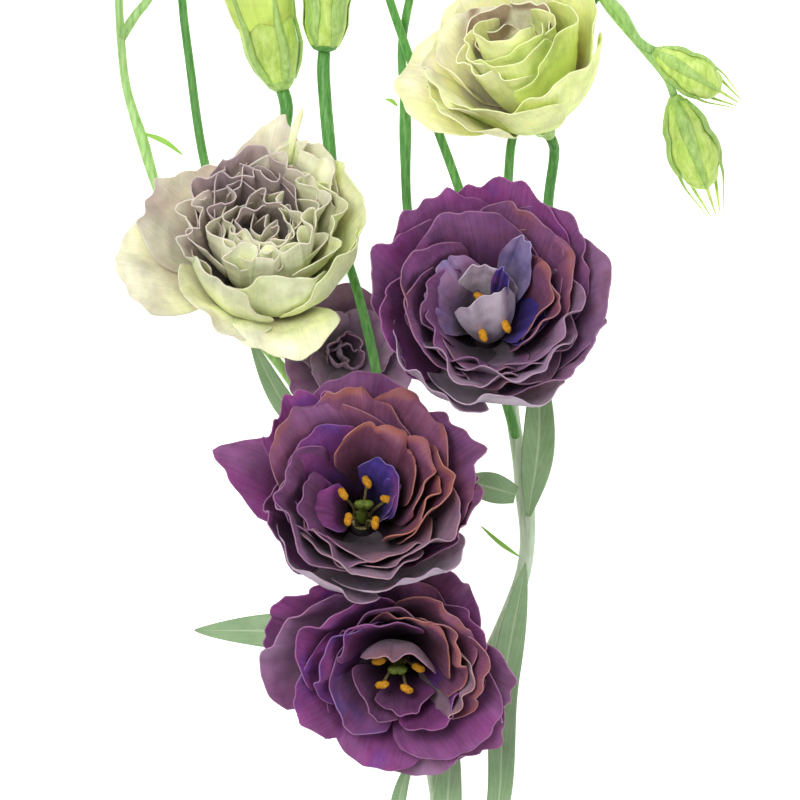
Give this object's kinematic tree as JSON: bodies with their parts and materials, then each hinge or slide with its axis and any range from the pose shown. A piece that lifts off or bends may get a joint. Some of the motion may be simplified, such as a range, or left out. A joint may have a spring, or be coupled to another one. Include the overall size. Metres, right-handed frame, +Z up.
{
  "type": "lisianthus flower spray",
  "caption": "Cut, branching lisianthus stem lying down, with ruffled double blooms in dark purple, pale cream and green-ivory, slender buds and clasping leaves.",
  "frame": {"origin": "on the table under the main stem, on the narrow flat that the stem lies on", "axes": "+Y along the main stem towards the flowers, +Z up from the table, +X to the right"},
  "size_m": [0.1931, 0.3733, 0.0794],
  "materials": {
    "petals_purple": "soft, velvety, finely veined",
    "petals_pale": "soft, matt, finely veined",
    "petals_green": "soft, matt, finely veined",
    "stem": "smooth, waxy green",
    "leaf": "smooth, with a grey-green bloom",
    "calyx": "smooth green",
    "bud": "smooth, yellow-green",
    "anthers": "powdery yellow",
    "pistil": "smooth green"
  },
  "bodies": {
    "root": {"bloom_centre_calyx": "calyx", "bloom_centre_petals": "petals_purple", "bloom_centre_pistil": "pistil", "bloom_centre_stamens": "anthers", "bloom_hidden_calyx": "calyx", "bloom_hidden_petals": "petals_purple", "bloom_lower_calyx": "calyx", "bloom_lower_petals": "petals_purple", "bloom_lower_pistil": "pistil", "bloom_lower_stamens": "anthers", "bloom_pale_calyx": "calyx", "bloom_pale_petals": "petals_pale", "bloom_right_calyx": "calyx", "bloom_right_petals": "petals_purple", "bloom_right_pistil": "pistil", "bloom_right_stamens": "anthers", "bloom_upper_calyx": "calyx", "bloom_upper_petals": "petals_green", "bloom_upper_stamens": "anthers", "bract_centre": "leaf", "bract_left": "leaf", "bract_right": "leaf", "bud_half_open": "petals_green", "bud_half_open_calyx": "calyx", "bud_nodding_lower": "bud", "bud_nodding_lower_calyx": "calyx", "bud_nodding_upper": "bud", "bud_nodding_upper_calyx": "calyx", "bud_top_centre": "bud", "bud_top_centre_calyx": "calyx", "bud_top_centre_right": "bud", "bud_top_centre_right_calyx": "calyx", "bud_top_left": "bud", "bud_top_left_calyx": "calyx", "bud_top_mid_left": "bud", "bud_top_mid_left_calyx": "calyx", "bud_top_side": "bud", "bud_top_side_calyx": "calyx", "bud_upright": "bud", "bud_upright_calyx": "calyx", "leaf_base_front": "leaf", "leaf_base_left": "leaf", "leaf_low_left": "leaf", "leaf_low_right": "leaf", "leaf_right_side": "leaf", "leaf_right_tall": "leaf", "leaf_upper_left": "leaf", "stem": "stem"}
  },
  "joints": []
}
